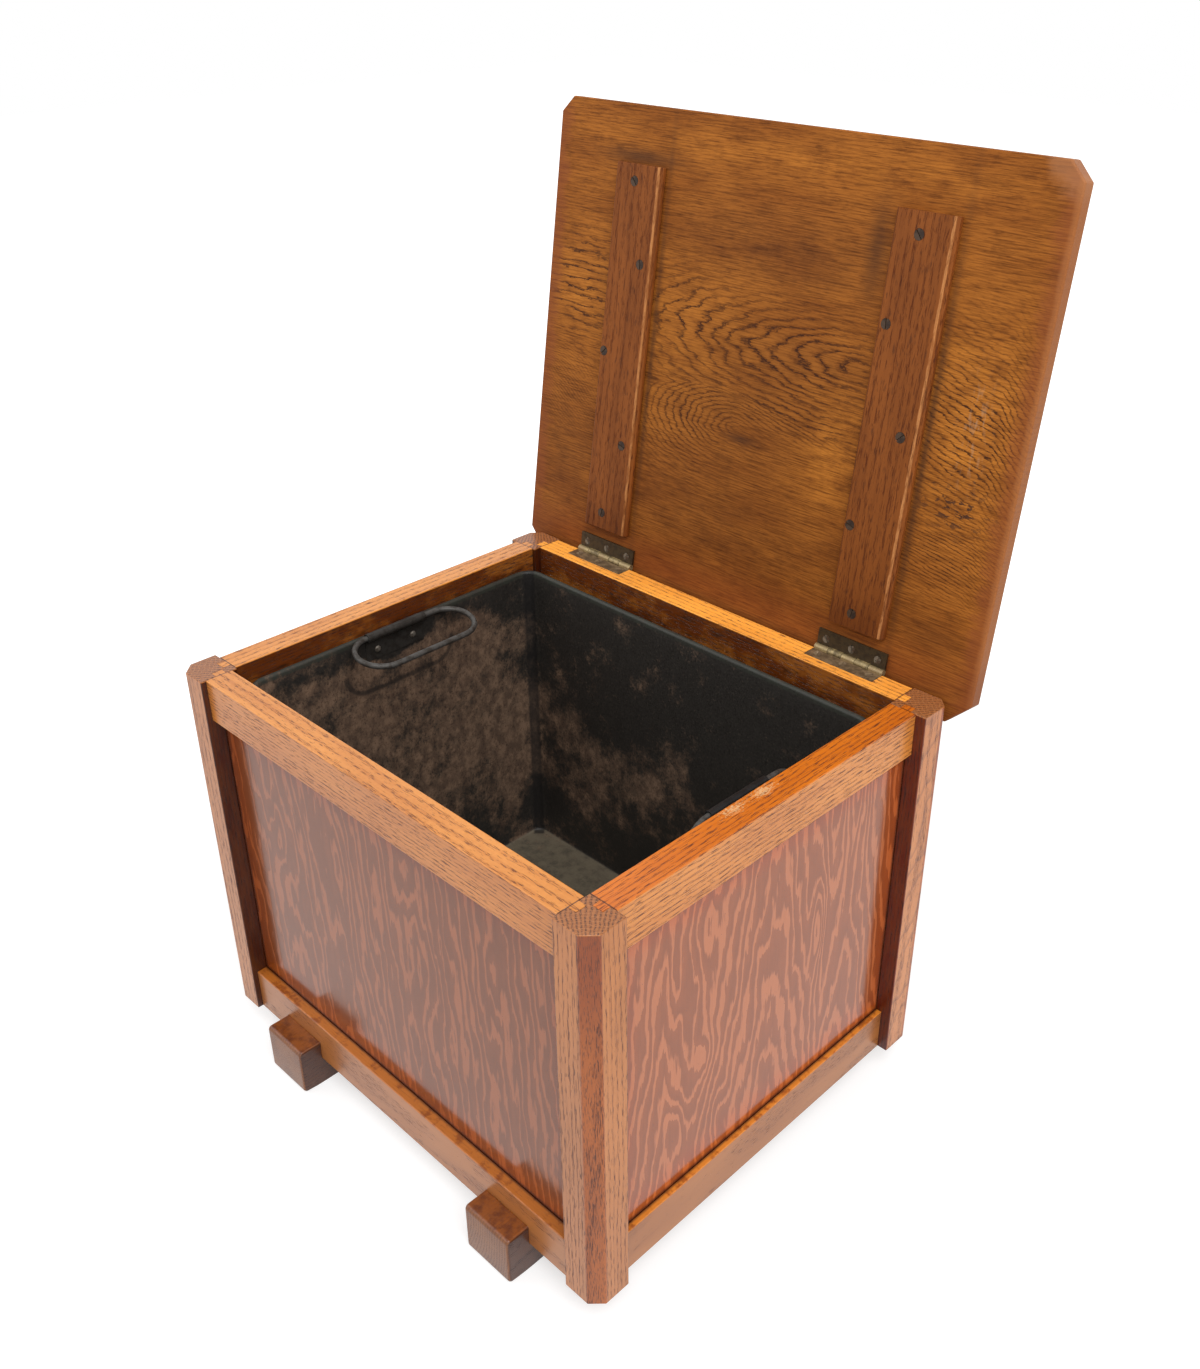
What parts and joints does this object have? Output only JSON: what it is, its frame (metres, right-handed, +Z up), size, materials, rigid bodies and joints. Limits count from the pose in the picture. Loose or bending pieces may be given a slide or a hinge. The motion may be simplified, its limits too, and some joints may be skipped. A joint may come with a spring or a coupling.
{
  "type": "coal box",
  "caption": "Framed wooden coal box with plywood panels, a hinged wooden lid with battens, runners underneath and a lift-out black sheet-metal liner with folding ring handles.",
  "frame": {"origin": "on the floor, at the middle of the footprint of the whole object with the lid open", "axes": "+X to the right seen from the front, +Y to the back where the hinges are, +Z up"},
  "size_m": [0.475, 0.4512, 0.7188],
  "materials": {
    "post_oak": "old polished oak, pinkish tan-brown with dark pore flecks",
    "rail_oak": "old polished oak, orange-brown with open pores",
    "panel_ply": "stained plywood, red-brown with upright figure, satin",
    "bottom_board": "plain dusty softwood",
    "runner_oak": "worn oak, brown, satin",
    "black_sheet": "blackened sheet steel with brown rust",
    "grey_iron": "dull grey iron with rust specks",
    "lid_oak": "old polished oak with dark wavy streaks and scuffs",
    "batten_oak": "old oak, dark red-brown, worn edges",
    "old_brass": "dark patinated brass with a rubbed bright barrel",
    "screw_steel": "dull grey slotted screws"
  },
  "bodies": {
    "carcase": {"post_front_left": "post_oak", "post_front_right": "post_oak", "post_back_right": "post_oak", "post_back_left": "post_oak", "top_rail_front": "rail_oak", "top_rail_right": "rail_oak", "top_rail_back": "rail_oak", "top_rail_left": "rail_oak", "bottom_rail_front": "rail_oak", "bottom_rail_right": "rail_oak", "bottom_rail_back": "rail_oak", "bottom_rail_left": "rail_oak", "panel_front": "panel_ply", "panel_right": "panel_ply", "panel_back": "panel_ply", "panel_left": "panel_ply", "bottom_board": "bottom_board", "runner_left": "runner_oak", "runner_right": "runner_oak", "liner_tub": "black_sheet", "handle_clip_left": "grey_iron", "handle_clip_right": "grey_iron", "clip_rivet_left_front": "grey_iron", "clip_rivet_left_back": "grey_iron", "clip_rivet_right_front": "grey_iron", "clip_rivet_right_back": "grey_iron", "hinge_lower_leaf_left": "old_brass", "hinge_pin_left": "old_brass", "hinge_lower_leaf_right": "old_brass", "hinge_pin_right": "old_brass", "hinge_lower_screw_left_1": "screw_steel", "hinge_lower_screw_left_2": "screw_steel", "hinge_lower_screw_left_3": "screw_steel", "hinge_lower_screw_right_1": "screw_steel", "hinge_lower_screw_right_2": "screw_steel", "hinge_lower_screw_right_3": "screw_steel"},
    "lid": {"lid_board": "lid_oak", "batten_left": "batten_oak", "batten_right": "batten_oak", "hinge_upper_leaf_left": "old_brass", "hinge_upper_leaf_right": "old_brass", "batten_screw_left_1": "screw_steel", "batten_screw_left_2": "screw_steel", "batten_screw_left_3": "screw_steel", "batten_screw_left_4": "screw_steel", "batten_screw_left_5": "screw_steel", "batten_screw_right_1": "screw_steel", "batten_screw_right_2": "screw_steel", "batten_screw_right_3": "screw_steel", "batten_screw_right_4": "screw_steel", "batten_screw_right_5": "screw_steel", "hinge_upper_screw_left_1": "screw_steel", "hinge_upper_screw_left_2": "screw_steel", "hinge_upper_screw_left_3": "screw_steel", "hinge_upper_screw_right_1": "screw_steel", "hinge_upper_screw_right_2": "screw_steel", "hinge_upper_screw_right_3": "screw_steel"},
    "ring_left": {"handle_ring_left": "grey_iron"},
    "ring_right": {"handle_ring_right": "grey_iron"}
  },
  "joints": [
    {"name": "lid_hinge", "type": "hinge", "parent": "carcase", "child": "lid", "pos_m": [0, 0.15585, 0.3492], "axis": [1, 0, 0], "range_deg": [0, 98.9]},
    {"name": "ring_left_fold", "type": "hinge", "parent": "carcase", "child": "ring_left", "pos_m": [-0.1853, -0.03865, 0.3348], "axis": [0, 1, 0], "range_deg": [-15, 83]},
    {"name": "ring_right_fold", "type": "hinge", "parent": "carcase", "child": "ring_right", "pos_m": [0.1793, -0.03115, 0.3368], "axis": [0, 1, 0], "range_deg": [-1.3, 94]}
  ]
}
